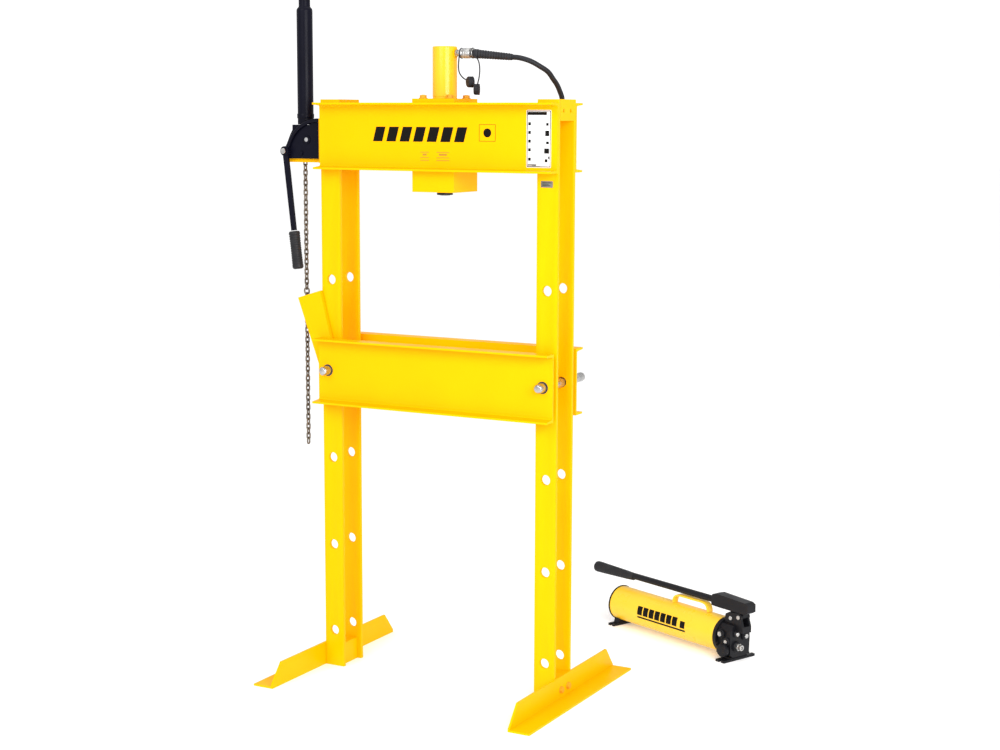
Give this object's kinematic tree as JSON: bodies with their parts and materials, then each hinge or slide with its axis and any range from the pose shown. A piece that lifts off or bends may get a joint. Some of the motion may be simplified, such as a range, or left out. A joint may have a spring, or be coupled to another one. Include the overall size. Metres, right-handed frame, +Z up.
{
  "type": "hydraulic shop press",
  "caption": "Hydraulic H-frame shop press with a pin-adjusted bed, a lever chain hoist that lifts the bed, a hanging oil hose and a floor-standing lever hand pump.",
  "frame": {"origin": "on the floor, at the centre of the set's bounding box in plan, the free hose not counted", "axes": "+Z up, +Y to the back, +X to the right when facing the press, so the chain hoist is on the -X side and the pump stands behind the right upright"},
  "size_m": [1.3714, 1.27, 2.123],
  "materials": {
    "frame_yellow": "glossy bright yellow machine enamel, slightly orange in shade, light edge wear",
    "pump_yellow": "glossy warm yellow enamel",
    "black_paint": "glossy black enamel",
    "bright_zinc": "bright zinc-plated steel",
    "machined_steel": "machined and ground steel",
    "dark_steel": "oiled dark steel",
    "chain_steel": "yellow-passivated chain steel, slightly dull",
    "black_rubber": "satin black rubber"
  },
  "bodies": {
    "frame": {"upright_left_front_bar": "frame_yellow", "upright_left_rear_bar": "frame_yellow", "upright_right_front_bar": "frame_yellow", "upright_right_rear_bar": "frame_yellow", "top_spacer_left": "frame_yellow", "top_spacer_right": "frame_yellow", "foot_spacer_left": "frame_yellow", "foot_spacer_right": "frame_yellow", "foot_left": "frame_yellow", "foot_right": "frame_yellow", "beam_channel_front": "frame_yellow", "beam_channel_rear": "frame_yellow", "bed_channel_front": "frame_yellow", "bed_channel_rear": "frame_yellow", "bed_tie_left": "frame_yellow", "bed_tie_right": "frame_yellow", "cylinder_clamp_plate": "frame_yellow", "cylinder_mount_block": "frame_yellow", "clamp_bolt_1": "frame_yellow", "clamp_bolt_2": "frame_yellow", "clamp_bolt_3": "frame_yellow", "clamp_bolt_4": "frame_yellow", "cylinder_barrel": "frame_yellow", "cylinder_gland": "machined_steel", "return_spring": "machined_steel", "port_nipple": "bright_zinc", "coupler_body": "bright_zinc", "hose_guard": "black_rubber", "hose": "black_rubber", "hose_end_coupler": "bright_zinc", "dust_cap_left": "black_rubber", "dust_cap_right": "black_rubber", "hoist_bracket": "frame_yellow", "hoist_housing": "black_paint", "chain_tube": "black_paint", "hoist_pivot_pin": "bright_zinc"},
    "ram": {"ram_rod": "machined_steel", "ram_saddle": "dark_steel"},
    "left_bed_pin": {"bed_pin_left": "bright_zinc"},
    "right_bed_pin": {"bed_pin_right": "bright_zinc"},
    "coupler_collar": {"coupler_collar": "bright_zinc"},
    "lift_arms": {"lift_arm_front": "frame_yellow", "lift_arm_rear": "frame_yellow", "lift_arm_rod": "bright_zinc"},
    "chain": {"hoist_chain": "chain_steel", "lift_hook": "chain_steel"},
    "chain_wheel": {"chain_wheel": "machined_steel"},
    "hoist_lever": {"hoist_lever": "black_paint", "hoist_lever_grip": "black_rubber"},
    "pump_body": {"pump_reservoir": "pump_yellow", "pump_rear_cap": "black_paint", "pump_head": "black_paint", "pump_pivot_pin": "bright_zinc", "pump_carry_strap": "pump_yellow", "pump_foot_head": "black_paint", "pump_foot_rear": "black_paint"},
    "pump_handle": {"pump_handle": "black_paint", "pump_handle_grip": "black_rubber"},
    "pump_plunger": {"pump_plunger": "bright_zinc"},
    "pump_release_knob": {"pump_release_knob": "black_paint"}
  },
  "joints": [
    {"name": "ram_stroke", "type": "slide", "parent": "frame", "child": "ram", "axis": [0, 0, -1], "range_m": [0, 0.25], "stiffness_N_per_m": 600, "springref_m": -0.25, "deforming": ["return_spring"]},
    {"name": "left_bed_pin_pull", "type": "slide", "parent": "frame", "child": "left_bed_pin", "axis": [0, 1, 0], "range_m": [0, 0.3]},
    {"name": "right_bed_pin_pull", "type": "slide", "parent": "frame", "child": "right_bed_pin", "axis": [0, 1, 0], "range_m": [0, 0.3]},
    {"name": "coupler_collar_turn", "type": "hinge", "parent": "frame", "child": "coupler_collar", "pos_m": [-0.03469, -0.27897, 1.936], "axis": [1, 0, 0], "range_deg": [0, 720]},
    {"name": "lift_arms_swing", "type": "hinge", "parent": "frame", "child": "lift_arms", "pos_m": [-0.48769, -0.27897, 0.9615], "axis": [0, 1, 0], "range_deg": [0, 13]},
    {"name": "hoist_chain_run", "type": "slide", "parent": "frame", "child": "chain", "axis": [0, 0, -1], "range_m": [0, 0.25]},
    {"name": "chain_wheel_turn", "type": "hinge", "parent": "frame", "child": "chain_wheel", "pos_m": [-0.59069, -0.27897, 1.676], "axis": [0, -1, 0], "range_deg": [0, 515]},
    {"name": "hoist_lever_swing", "type": "hinge", "parent": "frame", "child": "hoist_lever", "pos_m": [-0.66469, -0.32097, 1.64], "axis": [0, 1, 0], "range_deg": [0, 50]},
    {"name": "pump_lift_off", "type": "slide", "parent": "frame", "child": "pump_body", "axis": [0, 0, 1], "range_m": [0, 0.3]},
    {"name": "pump_handle_stroke", "type": "hinge", "parent": "pump_body", "child": "pump_handle", "pos_m": [0.64417, 0.3422, 0.147], "axis": [0.3916, 0.9201, 0], "range_deg": [0, 45]},
    {"name": "pump_plunger_stroke", "type": "slide", "parent": "pump_body", "child": "pump_plunger", "axis": [0, 0, 1], "range_m": [0, 0.0205]},
    {"name": "pump_release_turn", "type": "hinge", "parent": "pump_body", "child": "pump_release_knob", "pos_m": [0.59607, 0.30833, 0.038], "axis": [-0.3916, -0.9201, 0], "range_deg": [0, 180]}
  ],
  "couplings": [
    {"joint": "chain_wheel_turn", "follows": "hoist_chain_run", "rad_per_m": 35.714},
    {"joint": "pump_plunger_stroke", "follows": "pump_handle_stroke", "m_per_rad": 0.026}
  ]
}
